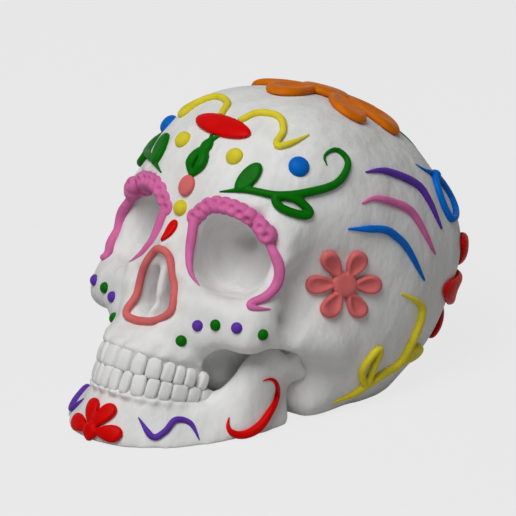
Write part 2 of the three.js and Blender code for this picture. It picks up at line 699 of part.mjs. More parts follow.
// Forehead.
const SQUIGGLE = [
  [20.5, 28.8], [25, 30.2], [31.7, 29], [33.1, 24.6], [31, 20.8], [31.8, 19.5], [36.4, 20.9], [41.4, 23.5],
];
const BUD_STRAND = [[0, 12.2], [2.6, 14.8], [2.2, 18], [-1, 22], [2, 24.8]];
const VINE = [
  [12.5, 5.1], [21.7, 5.5], [31.2, 3.9], [40.6, 4.8], [50.1, 7.9],
  [53.7, 14.3], [50.1, 18.6], [46.3, 16.7], [47.2, 13.5],
];
const VINE_LOOP = [[30.7, 3.4], [32.1, -0.1], [39.2, -2.5], [41.4, -1.3], [36.9, 2.7]];
const budWidths = [1.2, 2.6, 2.4, 1.6, 0.6];
place("forehead_oval", join(pad(FRONT, oval([0, 29.2], 12.1, 4, 12), 2.2, { rings: CUSHION })), RED);
placePair("forehead_dot", join(dot(QUARTER, [17.4, 16.5], 2.9, 2)), YELLOW);
placePair("temple_dot", join(dot(QUARTER, [38.1, 13.2], 3.5, 2.2)), BLUE);
placePair("squiggle", join(stroke(QUARTER, SQUIGGLE, [2.2, 2.3, 2.3, 2, 0.7], { steps: 13 })), YELLOW);
place("bud", join(
  stroke(FRONT, BUD_STRAND, budWidths),
  stroke(FRONT, BUD_STRAND.map(([x, z]) => [-x, z]), budWidths),
), GREEN);
placePair("vine", join(
  stroke(QUARTER, VINE, [0.6, 2.4, 2.8, 3, 2.8, 2, 0.6], { steps: 16 }),
  pad(QUARTER, petal([19, 5.6], 47, 10.5, 4.6), 2),
  stroke(QUARTER, VINE_LOOP, [2.1, 2.1], { steps: 12, loop: true }),
), GREEN);

// Round the eyes: a scalloped band over the socket with a big dot at its end, and a tapering bead down
// each side. Sketched from the middle of the socket.
const SCALLOPS = 9;
const EYE_BAND = [[-11.4, 12.6], [-6, 16.7], [1.4, 15.5], [7.6, 12.1], [12.2, 7.1]];
const EYE_INNER = [[-11.2, 11.6], [-13.4, 1.2], [-12.9, -5.9], [-9.9, -10.1]];
const EYE_OUTER = [[12.4, 5.6], [15.9, -4.3], [12.4, -13], [6, -16.1], [6.9, -17.3], [13, -17.5]];
const roundEye = (points) => sketchFrom(QUARTER, new THREE.Vector3(...EYE), points);
const scallopWidths = Array.from({ length: 2 * SCALLOPS + 1 }, (_, i) => (i % 2 ? 6.4 : 5.2));
placePair("eye_surround", join(
  stroke(QUARTER, roundEye(EYE_BAND), scallopWidths, { steps: 2 * SCALLOPS, rise: 0.4 }),
  dot(QUARTER, roundEye(EYE_BAND).at(-1), 3.2, 3),
  stroke(QUARTER, roundEye(EYE_INNER), [3.2, 2.9, 2, 0.5], { steps: 8 }),
  stroke(QUARTER, roundEye(EYE_OUTER), [3, 3.2, 3, 2.6, 0.5], { steps: 14 }),
), PINK);

// Cheeks and temples. The dots on the cheeks are sketched from the gum over the front teeth.
const CHEEK_DOTS = [[18.0, -0.7], [23.3, 4.2], [29.1, 4.4], [35.9, 3.5], [44.3, 1.3]];
const frontGum = new THREE.Vector3(0, ARCH_FRONT, UPPER_GUM);
sketchFrom(QUARTER, frontGum, CHEEK_DOTS).forEach((spot, i) => {
  placePair(`cheek_dot_${i + 1}`, join(dot(QUARTER, spot, 1.8, 1.5, { sides: 6 })), i % 2 ? PURPLE : GREEN);
});
const STROKE_UPPER = [[59.5, 11.5], [65.7, 11.8], [75.4, 7.9], [79.8, 2.6], [84.5, -6.8]];
const STROKE_MIDDLE = [[58.3, 1.4], [63, 3], [71.9, 0.3], [76.3, -4.1], [82.3, -14.9]];
const STROKE_LOWER = [[53.8, -6.8], [64.8, -6.9], [69.2, -9.2], [73.1, -13.3], [78.8, -23.4]];
const strokeWidths = [0.8, 2.5, 2.8, 2.6, 2, 0.8];
placePair("stroke_upper", join(stroke(QUARTER, STROKE_UPPER, strokeWidths)), PURPLE);
placePair("stroke_middle", join(stroke(QUARTER, STROKE_MIDDLE, strokeWidths)), PINK);
placePair("stroke_lower", join(stroke(QUARTER, STROKE_LOWER, strokeWidths)), BLUE);
const templePetals = alikePetals(11.6, [0, 60, 120, 180, 240, 300]);
placePair("temple_flower", flower(QUARTER, [52.4, -24.6], templePetals, { heart: 4.3, height: 2 }), CORAL);
const REAR_VINE = [
  [48.9, -63.1], [55.8, -59.9], [64.9, -53.7], [70.5, -50],
  [75.1, -41.9], [77.5, -33.9], [76, -30.3], [71.1, -27.6],
];
const REAR_VINE_LOOP = [[59.6, -57.2], [58.5, -52.1], [63.3, -45.7], [64.1, -46.6], [62.3, -50.8]];
placePair("rear_vine", join(
  stroke(QUARTER, REAR_VINE, [0.6, 2.1, 2.2, 2.2, 2.2, 0.6], { steps: 14 }),
  stroke(QUARTER, REAR_VINE_LOOP, [2.1, 2.1], { steps: 10, loop: true }),
  pad(QUARTER, petal([71, -50], 40, 8.5, 3.2), 1.8),
), YELLOW);

// Lower jaw.
const JAW_SQUIGGLE = [[-13.7, -67.4], [-9.1, -73.8], [-5, -72.2], [-1.7, -68.5], [3.1, -69.6], [6.1, -74.9]];
const JAW_HOOK = [
  [26.4, -55.8], [30.2, -55.2], [30.4, -61.6], [25, -70.5], [18.4, -73.3], [15, -71.3], [15.7, -67.4],
];
const onJaw = { field: jawField, steps: 12 };
placePair("jaw_squiggle", join(stroke(QUARTER, JAW_SQUIGGLE, [0.5, 2.1, 2.2, 2.2, 1.8, 0.5], onJaw)), PURPLE);
placePair("jaw_hook", join(stroke(QUARTER, JAW_HOOK, [0.4, 1.6, 2.2, 2.7, 2, 0.4], onJaw)), RED);
const chinPetals = alikePetals(11, [10, 66, 114, 170]);
place("chin_flower", flower(FRONT, [0, -77], chinPetals, { heart: 2.6, height: 1.8, field: jawField }), RED);

// Crown and back.
const crownPetals = alikePetals(25, [-90, -19, 38, 90, 142, 199]);
const backPetals = [[-3, 40], [62, 27], [118, 27], [183, 40], [240, 33], [300, 33]];
const bigPetals = { sides: 8, rings: DIMPLE };
place("crown_flower", flower(TOP, [0, 50], crownPetals, { heart: 8.5, height: 3, ...bigPetals }), ORANGE);
place("back_flower", flower(BACK, [0, 5], backPetals, { heart: 12, height: 2.8, ...bigPetals }), RED);

// The ribbon is sketched from behind, from the lower end of the upper stroke.
const RIBBON_TAIL = [[3.3, 22.4], [6.9, 18.7], [13.2, 14.5]];
const RIBBON_LOOP = [
  [12.7, 14.1], [6.6, 11.7], [4.3, 6.2], [6.4, -0.2], [14, -0.5], [20.6, 2.6], [18.4, 9.4],
];
const strokeEnd = drape(QUARTER, craniumField, ...STROKE_UPPER.at(-1), 0);
const fromStroke = (points) => sketchFrom(REAR, strokeEnd, points);
placePair("back_ribbon", join(
  stroke(REAR, fromStroke(RIBBON_TAIL), [0.6, 2, 2.4], { steps: 6 }),
  stroke(REAR, fromStroke(RIBBON_LOOP), [2.3, 2.3], { steps: 14, loop: true }),
), BLUE);
placePair("rear_leaf", join(pad(TOP, petal([3.2, 80.5], 62, 12, 4.5), 1.2)), GREEN);

// The rest of the skull's frame: the middle of its outline on the table is the part's origin.
const skull = new THREE.Group();
skull.add(head);
const middle = new THREE.Box3().setFromObject(skull, true).getCenter(new THREE.Vector3());
head.position.y -= middle.y;
export default skull;
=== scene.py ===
"""A sugar skull: two bone castings made fine and smooth, carved teeth, and icing piped and pressed on."""
import json
import math

import bpy
from mathutils import Matrix, Vector
from mathutils.bvhtree import BVHTree

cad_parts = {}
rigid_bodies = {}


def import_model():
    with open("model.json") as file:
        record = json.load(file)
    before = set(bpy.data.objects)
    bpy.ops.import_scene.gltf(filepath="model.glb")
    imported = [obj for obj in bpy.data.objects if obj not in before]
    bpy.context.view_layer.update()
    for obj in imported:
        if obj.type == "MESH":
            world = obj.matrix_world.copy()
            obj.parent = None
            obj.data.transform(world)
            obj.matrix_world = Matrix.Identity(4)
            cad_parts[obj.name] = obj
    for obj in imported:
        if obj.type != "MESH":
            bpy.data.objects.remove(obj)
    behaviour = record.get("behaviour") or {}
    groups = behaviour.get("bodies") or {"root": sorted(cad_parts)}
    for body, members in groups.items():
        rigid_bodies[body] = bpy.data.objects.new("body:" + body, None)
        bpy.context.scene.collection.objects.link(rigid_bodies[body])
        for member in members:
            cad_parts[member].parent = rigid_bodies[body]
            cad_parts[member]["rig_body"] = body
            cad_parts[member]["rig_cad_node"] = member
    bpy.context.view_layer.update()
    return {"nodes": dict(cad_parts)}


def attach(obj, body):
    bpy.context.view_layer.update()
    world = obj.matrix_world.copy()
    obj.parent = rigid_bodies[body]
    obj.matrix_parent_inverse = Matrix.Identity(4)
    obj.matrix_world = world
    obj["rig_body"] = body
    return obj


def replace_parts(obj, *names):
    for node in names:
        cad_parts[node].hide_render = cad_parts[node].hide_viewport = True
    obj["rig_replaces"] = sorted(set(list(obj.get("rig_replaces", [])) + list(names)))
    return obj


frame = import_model()

# Sketches are in millimetres from the brow between the eyes, and the skull leans back by its tilt.
MM = 0.001
BROW = Vector((0, -33.489, 69.497)) * MM
TILT = math.radians(-25)
LEAN = Matrix.Rotation(TILT, 3, "X")

# The photo's view: how far round to the skull's left and how high it stands, and the camera for it.
VIEW_TURN = 45
VIEW_HEIGHT = 19.45
CAMERA_AIM = Vector((21.6, -19.8, 54.3)) * MM
CAMERA_DISTANCE = 4.625
CAMERA_LENS = 1000

# The size of the fine skin on bone and icing, and how far bone swells to make up for its rounded facets.
CRANIUM_SKIN = 0.85
MANDIBLE_SKIN = 0.6
ICING_SKIN = 0.26
BONE_SWELL = 0.45

# Icing: how deep it sits in the bone, and how high a strand stands for its width.
SUNK = 0.5
STRAND_RISE = 0.75

# A dot's dimple: its spread for the dot's radius.
DIMPLE_SPREAD = 0.36

# Rays that land sketch points start this far off. One that misses looks for the nearest bone at these depths.
RAY_START = 160
MISSED_DEPTHS = range(60, 280)

# A flower: where petals start for the heart's size, their width for their reach, and the heart's rise.
PETAL_ROOT = 0.6
PETAL_WIDTH = 0.55
HEART_RISE = 1.25


def plane_of(right, up):
    """A sketch plane: its right, its up and the way to the viewer."""
    return right, up, right.cross(up)


def quarter_plane(turn, height):
    """The sketch plane of a viewer who stands round to the skull's left."""
    a, e = math.radians(turn), math.radians(height)
    right = Vector((math.cos(a), math.sin(a), 0))
    toward = Vector((math.sin(a) * math.cos(e), -math.cos(a) * math.cos(e), math.sin(e)))
    return right, toward.cross(right), toward


ACROSS, BACKWARD, UPWARD = (LEAN @ Vector(way) for way in ((1, 0, 0), (0, 1, 0), (0, 0, 1)))
FRONT = plane_of(ACROSS, UPWARD)
TOP = plane_of(ACROSS, BACKWARD)
BACK = plane_of(-ACROSS, UPWARD)
QUARTER = quarter_plane(VIEW_TURN, VIEW_HEIGHT)
REAR = quarter_plane(130, 15)


# Small steps of modelling.

def select_only(*objects):
    if bpy.context.object and bpy.context.object.mode != "OBJECT":
        bpy.ops.object.mode_set(mode="OBJECT")
    bpy.ops.object.select_all(action="DESELECT")
    for item in objects:
        item.select_set(True)
    bpy.context.view_layer.objects.active = objects[0] if objects else None


def edit(obj):
    select_only(obj)
    bpy.ops.object.mode_set(mode="EDIT")
    bpy.ops.mesh.select_all(action="SELECT")


def stop_editing():
    bpy.ops.object.mode_set(mode="OBJECT")


def apply_modifier(obj, kind, **settings):
    select_only(obj)
    modifier = obj.modifiers.new(kind.lower(), kind)
    for name, value in settings.items():
        setattr(modifier, name, value)
    bpy.ops.object.modifier_apply(modifier=modifier.name)


def subdivide(obj, levels):
    apply_modifier(obj, "SUBSURF", levels=levels, render_levels=levels)


def fine_skin(obj, size, smoothing):
    apply_modifier(obj, "REMESH", mode="VOXEL", voxel_size=size * MM, use_smooth_shade=True)
    apply_modifier(obj, "SMOOTH", factor=0.5, iterations=smoothing)


def joined(parts):
    select_only(*parts)
    if len(parts) > 1:
        bpy.ops.object.join()
    return parts[0]


def place(obj, spot, turn):
    """Turns and moves an object made at the origin, and puts its place into its mesh."""
    obj.rotation_mode = "QUATERNION"
    obj.rotation_quaternion = turn
    obj.location = spot
    select_only(obj)
    bpy.ops.object.transform_apply(location=True, rotation=True, scale=True)


def head_point(x, y, z):
    """A point given in millimetres from the brow, along the leaning head."""
    return BROW + LEAN @ Vector((x, y, z)) * MM


def pull(obj, spot, move, reach):
    """Pulls the skin at a spot of the head, softly within its reach."""
    goal = head_point(*spot)
    edit(obj)
    bpy.ops.mesh.select_all(action="DESELECT")
    stop_editing()
    min(obj.data.vertices, key=lambda vertex: (vertex.co - goal).length_squared).select = True
    bpy.ops.object.mode_set(mode="EDIT")
    bpy.ops.transform.translate(value=LEAN @ Vector(move) * MM, use_proportional_edit=True,
                                proportional_edit_falloff="SMOOTH", proportional_size=reach * MM)
    stop_editing()


def pull_both(obj, spot, move, reach):
    """The same pull on the skull's left and, mirrored, on its right."""
    for side in (1, -1):
        pull(obj, (side * spot[0], *spot[1:]), (side * move[0], *move[1:]), reach)


def tree_of(obj):
    return BVHTree.FromObject(obj, bpy.context.evaluated_depsgraph_get())


# Materials.

def linear(r, g, b):
    """A colour written as 0 to 255 on screen, as Blender's own values."""
    def channel(value):
        c = value / 255
        return c / 12.92 if c <= 0.04045 else ((c + 0.055) / 1.055) ** 2.4
    return (channel(r), channel(g), channel(b), 1)


def shader_of(name):
    material = bpy.data.materials.new(name)
    material.use_nodes = True
    nodes = material.node_tree.nodes
    return material, nodes, material.node_tree.links, nodes["Principled BSDF"]


def noise_on(nodes, links, scale, detail, stretch=(1, 1, 1), turn=(0, 0, 0)):
    """A noise in Object coordinates, stretched and turned."""
    place_node = nodes.new("ShaderNodeTexCoord")
    mapping = nodes.new("ShaderNodeMapping")
    mapping.inputs["Scale"].default_value = stretch
    mapping.inputs["Rotation"].default_value = turn
    noise = nodes.new("ShaderNodeTexNoise")
    noise.inputs["Scale"].default_value = scale
    noise.inputs["Detail"].default_value = detail
    links.new(place_node.outputs["Object"], mapping.inputs["Vector"])
    links.new(mapping.outputs["Vector"], noise.inputs["Vector"])
    return noise.outputs["Fac"]


def ramp_on(nodes, links, factor, dark, light, low=0.35, high=0.65):
    ramp = nodes.new("ShaderNodeValToRGB")
    ramp.color_ramp.elements[0].position = low
    ramp.color_ramp.elements[0].color = dark
    ramp.color_ramp.elements[1].position = high
    ramp.color_ramp.elements[1].color = light
    links.new(factor, ramp.inputs["Fac"])
    return ramp.outputs["Color"]


def bump_on(nodes, links, height, strength, depth, under=None):
    bump = nodes.new("ShaderNodeBump")
    bump.inputs["Strength"].default_value = strength
    bump.inputs["Distance"].default_value = depth * MM
    links.new(height, bump.inputs["Height"])
    if under:
        links.new(under, bump.inputs["Normal"])
    return bump.outputs["Normal"]


def bone_material():
    """Matte white casting with faint brush marks and a fine grain."""
    material, nodes, links, shader = shader_of("bone")
    marks = noise_on(nodes, links, 170, 3, stretch=(1, 0.7, 0.45), turn=(0.8, 0.3, 0.4))
    grain = noise_on(nodes, links, 900, 4)
    tone = ramp_on(nodes, links, marks, linear(222, 222, 220), linear(232, 232, 231))
    links.new(tone, shader.inputs["Base Color"])
    rough = ramp_on(nodes, links, grain, (0.62,) * 3 + (1,), (0.74,) * 3 + (1,))
    links.new(rough, shader.inputs["Roughness"])
    shader.inputs["Specular IOR Level"].default_value = 0.3
    brushed = bump_on(nodes, links, marks, 0.7, 1.6)
    links.new(bump_on(nodes, links, grain, 0.12, 0.08, brushed), shader.inputs["Normal"])
    return material


def icing_material(name, colour):
    """Set icing: a strong colour, a little uneven, with a soft sheen."""
    material, nodes, links, shader = shader_of(name)
    light = linear(*colour)
    dark = tuple(c * 0.86 for c in light[:3]) + (1,)
    patches = noise_on(nodes, links, 240, 3)
    grain = noise_on(nodes, links, 1400, 3)
    links.new(ramp_on(nodes, links, patches, dark, light), shader.inputs["Base Color"])
    rough = ramp_on(nodes, links, grain, (0.42,) * 3 + (1,), (0.55,) * 3 + (1,))
    links.new(rough, shader.inputs["Roughness"])
    shader.inputs["Specular IOR Level"].default_value = 0.08
    uneven = bump_on(nodes, links, patches, 0.25, 0.25)
    links.new(bump_on(nodes, links, grain, 0.1, 0.05, uneven), shader.inputs["Normal"])
    return material


MATERIALS = {"bone": bone_material()}
ICING_COLOURS = {
    "red_icing": (216, 0, 0), "green_icing": (0, 106, 0), "yellow_icing": (226, 210, 52),
    "blue_icing": (0, 106, 204), "purple_icing": (98, 54, 168), "pink_icing": (220, 112, 170),
    "coral_icing": (220, 110, 110), "orange_icing": (212, 110, 4),
}
for slot_name, colour in ICING_COLOURS.items():
    MATERIALS[slot_name] = icing_material(slot_name, colour)


def hand_over(piece, slot, *nodes):
    """A finished piece gets its material, rides on the skull and stands for its CAD nodes."""
    piece.data.materials.clear()
    piece.data.materials.append(MATERIALS[slot])
    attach(piece, "root")
    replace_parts(piece, *nodes)


# Bone.

def crease_foot(bone):
    """Keeps the edge round the flat foot of a casting crisp while its facets are rounded."""
    edit(bone)
    bpy.ops.mesh.select_all(action="DESELECT")
    stop_editing()
    for vertex in bone.data.vertices:
        vertex.select = vertex.co.z < 0.02 * MM
    bpy.ops.object.mode_set(mode="EDIT")
    bpy.ops.transform.edge_crease(value=1)
    stop_editing()


def bone_from(node):
    """A copy of a casting with its facets rounded off."""
    select_only(frame["nodes"][node])
    bpy.ops.object.duplicate()
    bone = bpy.context.object
    bone.name = f"bone_{node}"
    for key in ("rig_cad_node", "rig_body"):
        del bone[key]
    bone.parent = None
    edit(bone)
    bpy.ops.mesh.remove_doubles(threshold=0.001 * MM)
    bpy.ops.mesh.tris_convert_to_quads()
    bpy.ops.mesh.normals_make_consistent(inside=False)
    stop_editing()
    bpy.ops.mesh.customdata_custom_splitnormals_clear()
    crease_foot(bone)
    subdivide(bone, 2)
    apply_modifier(bone, "DISPLACE", mid_level=0, strength=BONE_SWELL * MM)
    for vertex in bone.data.vertices:
        vertex.co.z = max(vertex.co.z, 0)
    return bone


# Teeth stand on half an ellipse seen from above. Widths run from the middle tooth to the last.
ARCH_HALF_WIDTH = 18.5
ARCH_DEPTH = 25
ARCH_BACK = 18.5
ARCH_FRONT = ARCH_BACK - ARCH_DEPTH
UPPER_WIDTHS = [5.4, 4.6, 5, 4.1, 3.5, 4, 3.4]
LOWER_WIDTHS = [3.7, 3.4, 4.6, 4.1, 4.1, 5.6, 4.8, 5.2]
LAST_UPPER_GAP = 1.5
BITE = -55.7
BITE_RISE = 0.085
BITE_LAP = 0.5
UPPER_GUM = -48.5
LOWER_GUM = -62.5
UPPER_GUM_RISE = 0.12
LOWER_GUM_RISE = 0.2
GUM_STEP = 0.8
GUM_SETBACK = 2.3
GUM_FADE = 4
ROOT_LAP = 0.3
TOOTH_SWAY = math.radians(3.5)
SWAY_STEP = 2.3


def arch_point(angle):
    return Vector((ARCH_HALF_WIDTH * math.sin(angle), ARCH_BACK - ARCH_DEPTH * math.cos(angle), 0))


def arch_angle(arc):
    angle, run = 0, 0
    while run < arc:
        run += (arch_point(angle + 0.002) - arch_point(angle)).length
        angle += 0.002
    return angle


def set_back(bone, gum, gum_rise, way, rear):
    """Draws a casting's rough teeth in, from the gum's edge to the bite, to make room for carved ones."""
    for vertex in bone.data.vertices:
        at = LEAN.transposed() @ (vertex.co - BROW) / MM
        edge = gum + gum_rise * max(at.y - ARCH_FRONT, 0)
        beyond = (edge - at.z) * way
        if beyond > 0 and at.y < rear:
            share = min(beyond / GUM_STEP, 1) * min((rear - at.y) / GUM_FADE, 1)
            out = Vector((at.x, at.y - ARCH_BACK, 0)).normalized()
            vertex.co = head_point(*(at - out * GUM_SETBACK * share))


def tooth(width, depth, height, root):
    """A tooth with its root up: a block with bulging faces, drawn in at the root."""
    bpy.ops.mesh.primitive_cube_add(size=1)
    obj = bpy.context.object
    edit(obj)
    bpy.ops.mesh.subdivide(number_cuts=2)
    bpy.ops.transform.tosphere(value=0.3)
    bpy.ops.transform.resize(value=(width * MM, depth * MM, height * MM))
    bpy.ops.mesh.select_all(action="DESELECT")
    stop_editing()
    for vertex in obj.data.vertices:
        vertex.select = vertex.co.z > 0.3 * height * MM
    bpy.ops.object.mode_set(mode="EDIT")
    bpy.ops.transform.resize(value=(root, root, 1))
    stop_editing()
    subdivide(obj, 2)
    return obj


def teeth(widths, gum, gum_rise, bite, depth, outward, root, last_gap=0):
    """Both halves of a row, each tooth turned along the arch and set out from it."""
    row, arc = [], 0
    for number, width in enumerate(widths):
        if number == len(widths) - 1:
            arc += last_gap
        angle = arch_angle(arc + width / 2)
        arc += width
        spot = arch_point(angle)
        lean = math.atan2(ARCH_DEPTH * math.sin(angle), ARCH_HALF_WIDTH * math.cos(angle))
        back = spot.y - ARCH_FRONT
        gum_here, bite_here = gum + gum_rise * back, bite + BITE_RISE * back
        spot += Vector((math.sin(lean), -math.cos(lean), 0)) * outward
        spot.z = (gum_here + bite_here) / 2
        sway = TOOTH_SWAY * math.sin(SWAY_STEP * number)
        for side in (-1, 1):
            obj = tooth(width, depth, abs(gum_here - bite_here), root)
            turn = Matrix.Rotation(side * lean, 3, "Z") @ Matrix.Rotation(side * sway, 3, "Y")
            if gum_here < bite_here:
                turn = turn @ Matrix.Rotation(math.pi, 3, "Y")
            place(obj, head_point(side * spot.x, spot.y, spot.z), (LEAN @ turn).to_quaternion())
            row.append(obj)
    return row


# Pulls that carve both sides of the cranium: a spot of the head, the way its skin moves, and the reach.
TEMPLE_HOLLOW = [
    ((37.5, 24, -11), (-6, 0, 0), 10),
    ((36, 28, -19), (-5.5, 0, 0), 10),
    ((37.5, 20.5, -14), (-3, 1, 0), 7),
    ((36.5, 25.5, -24), (-3.8, 0, 0.5), 8.5),
]
FLARED_BASE = [((30.8, 53.9, -48.2), (5.2, -4.7, -2.2), 15)]
NOSE_SIDES = [
    ((6, 1, -22), (0, -2, 0), 7),
    ((9, 1, -29), (0, -1.5, 0), 7),
    ((7.5, 0.5, -36), (0, -2.6, 0), 8),
]
DEEP_EYE_CORNER = [((9, 25, -4), (-1.5, 4, 1.5), 5)]
UPPER_JAW_CORNER = [((18, 20, -44), (-3, -4.5, 1), 9)]
CHEEK_BY_NOSE = [((12.7, 4.5, -21.8), (2, -2.5, 0), 6.5)]

cranium = bone_from("cranium")
set_back(cranium, UPPER_GUM, UPPER_GUM_RISE, way=1, rear=26)
for spot, move, reach in (
    *TEMPLE_HOLLOW, *FLARED_BASE, *NOSE_SIDES, *DEEP_EYE_CORNER, *UPPER_JAW_CORNER, *CHEEK_BY_NOSE,
):
    pull_both(cranium, spot, move, reach)
# The foot of the nose hole comes forward.
pull(cranium, (0, 4, -38.5), (0, -5, 0), 7)
fine_skin(cranium, CRANIUM_SKIN, 5)
mandible = bone_from("mandible")
set_back(mandible, LOWER_GUM, LOWER_GUM_RISE, way=-1, rear=19)
# The rear branch of the jaw gets narrower at its top.
pull_both(mandible, (34.6, 39.6, -47), (-5, -1, 0), 10)
fine_skin(mandible, MANDIBLE_SKIN, 14)
CRANIUM = tree_of(cranium)
MANDIBLE = tree_of(mandible)
upper_teeth = teeth(
    UPPER_WIDTHS, UPPER_GUM + ROOT_LAP, 0, BITE, depth=5.4, outward=-0.3, root=0.78, last_gap=LAST_UPPER_GAP,
)
lower_teeth = teeth(
    LOWER_WIDTHS, LOWER_GUM - ROOT_LAP, LOWER_GUM_RISE, BITE + BITE_LAP, depth=4.8, outward=-0.2, root=0.88,
)
for tooth_piece in upper_teeth + lower_teeth:
    select_only(tooth_piece)
    bpy.ops.object.shade_smooth()
hand_over(joined([cranium, *upper_teeth]), "bone", "cranium")
hand_over(joined([mandible, *lower_teeth]), "bone", "mandible")


# Icing.

def land(plane, u, v, clay):
    """Where a sketch point lands on the bone, and the way out of the bone there."""
    right, up, toward = plane
    start = BROW + (right * u + up * v + toward * RAY_START) * MM
    spot, normal, _, _ = clay.ray_cast(start, -toward)
    if spot is None:
        beside = [clay.find_nearest(start - toward * (step * MM)) for step in MISSED_DEPTHS]
        spot, normal, _, _ = min(beside, key=lambda hit: hit[3])
    return spot, normal


def land_on_rim(plane, u, v, clay, middle, step):
    """Lands outside the rim of a hollow, as seen from its middle, and comes back by that step in the air."""
    right, up, _ = plane
    away = (Vector((u, v)) - Vector(middle)).normalized() * step
    spot, normal = land(plane, u + away.x, v + away.y, clay)
    return spot - (right * away.x + up * away.y) * MM, normal


def sketch_from(plane, spot, points):
    """Sketch points that were measured from a spot on the skull."""
    right, up, _ = plane
    at = (spot - BROW) / MM
    return [(u + right.dot(at), v + up.dot(at)) for u, v in points]


def curve_through(points, steps, loop=False):
    """Evenly spaced points on a smooth curve through sketch points."""
    dots = [Vector(p) for p in points]
    if loop:
        dots = [dots[-1], *dots, dots[0], dots[1]]
    else:
        dots = [2 * dots[0] - dots[1], *dots, 2 * dots[-1] - dots[-2]]
    fine = []
    for a, b, c, d in zip(dots, dots[1:], dots[2:], dots[3:]):
        for i in range(12):
            t = i / 12
            fine.append(0.5 * (2 * b + (c - a) * t + (2 * a - 5 * b + 4 * c - d) * t * t
                               + (3 * b - a - 3 * c + d) * t ** 3))
    fine.append(dots[-2])
    runs = [0]
    for a, b in zip(fine, fine[1:]):
        runs.append(runs[-1] + (b - a).length)
    path, k = [], 0
    for i in range(steps + 1):
        goal = runs[-1] * i / steps
        while k < len(runs) - 2 and runs[k + 1] < goal:
            k += 1
        share = (goal - runs[k]) / max(runs[k + 1] - runs[k], 1e-9)
        path.append(fine[k].lerp(fine[k + 1], share))
    return path


def spread(values, share):
    """A list of values read at a share of its length."""
    place_in = share * (len(values) - 1)
    k = min(int(place_in), len(values) - 2)
    return values[k] + (values[k + 1] - values[k]) * (place_in - k)


def evened(spots, rounds, loop):
    """The same path with its small waves averaged out."""
    for _ in range(rounds):
        before = [spots[-1], *spots[:-1]]
        after = [*spots[1:], spots[0]]
        middle = [(a + 2 * b + c) / 4 for a, b, c in zip(before, spots, after)]
        spots = middle if loop else [spots[0], *middle[1:-1], spots[-1]]
    return spots


def strand(plane, points, widths, steps=30, loop=False, rise=STRAND_RISE, clay=CRANIUM, rim=None, rounds=0):
    """A piped strand: a path on the bone, or on a rim, with a round bevel of the width at each point."""
    path = curve_through(points, steps, loop)
    if loop:
        path.pop()
    girths = [spread(widths, i / steps) for i in range(len(path))]
    centres = []
    for i, (u, v) in enumerate(path):
        if rim:
            middle, shifts = rim
            spot, normal = land_on_rim(plane, u, v, clay, middle, spread(shifts, i / steps))
        else:
            spot, normal = land(plane, u, v, clay)
        centres.append(spot + normal * ((rise - 0.5) * girths[i] * MM))
    bpy.ops.curve.primitive_nurbs_path_add()
    obj = bpy.context.object
    obj.data.bevel_depth = 0.5 * MM
    obj.data.bevel_resolution = 3
    obj.data.use_fill_caps = True
    obj.data.splines.clear()
    spline = obj.data.splines.new("POLY")
    spline.points.add(len(centres) - 1)
    for point, centre, girth in zip(spline.points, evened(centres, rounds, loop), girths):
        point.co = (*centre, 1)
        point.radius = girth
    spline.use_cyclic_u = loop
    select_only(obj)
    bpy.ops.object.convert(target="MESH")
    return bpy.context.object


def button(plane, spot, radius, height, clay=CRANIUM, dimple=0.0, rim=None, facing=0.0):
    """A dot of icing: a ball pressed flat, with its dimple, turned a share of the way to the viewer."""
    middle, normal = land_on_rim(plane, *spot, clay, *rim) if rim else land(plane, *spot, clay)
    normal = normal.lerp(plane[2], facing)
    bpy.ops.mesh.primitive_uv_sphere_add(segments=32, ring_count=20, radius=1)
    obj = bpy.context.object
    edit(obj)
    bpy.ops.transform.resize(value=(radius * MM, radius * MM, height * MM))
    stop_editing()
    if dimple:
        for vertex in obj.data.vertices:
            off = math.hypot(vertex.co.x, vertex.co.y) / (radius * MM)
            if vertex.co.z > 0:
                vertex.co.z -= dimple * MM * math.exp(-((off / DIMPLE_SPREAD) ** 2))
    place(obj, middle, normal.to_track_quat("Z", "Y"))
    return obj


def oval(centre, half_width, half_height, sides=24):
    turns = [2 * math.pi * i / sides for i in range(sides)]
    return [(centre[0] + half_width * math.cos(t), centre[1] + half_height * math.sin(t)) for t in turns]


def petal(root, turn, length, width, root_share=0.45, sides=24):
    """A petal's outline, round at its tip and drawn in to a share of its width at its root."""
    c, s = math.cos(math.radians(turn)), math.sin(math.radians(turn))
    outline = []
    for i in range(sides):
        way = 2 * math.pi * i / sides
        along = length / 2 * (1 - math.cos(way))
        across = -width / 2 * math.sin(way) * (root_share + (1 - root_share) * along / length)
        outline.append((root[0] + along * c - across * s, root[1] + along * s + across * c))
    return outline


DOME = ((1, 0.55), (0.88, 0.85), (0.55, 1))
GROOVED = ((1, 0.5), (0.86, 0.95), (0.66, 1), (0.36, 0.5))
LEAF = ((1, 0.5), (0.82, 0.9), (0.5, 0.85))


def relief(plane, outline, height, rings, clay=CRANIUM):
    """A raised pad: its outline extruded and drawn in ring by ring while flat, then pressed on the bone."""
    bpy.ops.mesh.primitive_circle_add(vertices=len(outline), fill_type="NGON")
    obj = bpy.context.object
    for vertex, (u, v) in zip(obj.data.vertices, outline):
        vertex.co = (u, v, -SUNK)
    middle = sum((Vector((u, v, 0)) for u, v in outline), Vector()) / len(outline)
    edit(obj)
    scale, level = 1, -SUNK
    for ring, share in rings:
        lift = share * height - level
        bpy.ops.mesh.extrude_region_move(TRANSFORM_OT_translate={"value": (0, 0, lift)})
        bpy.ops.transform.resize(value=(ring / scale, ring / scale, 1), center_override=middle)
        scale, level = ring, share * height
    bpy.ops.mesh.select_all(action="SELECT")
    bpy.ops.mesh.normals_make_consistent(inside=False)
    stop_editing()
    subdivide(obj, 2)
    for vertex in obj.data.vertices:
        spot, normal = land(plane, vertex.co.x, vertex.co.y, clay)
        vertex.co = spot + normal * (vertex.co.z * MM)
    return obj


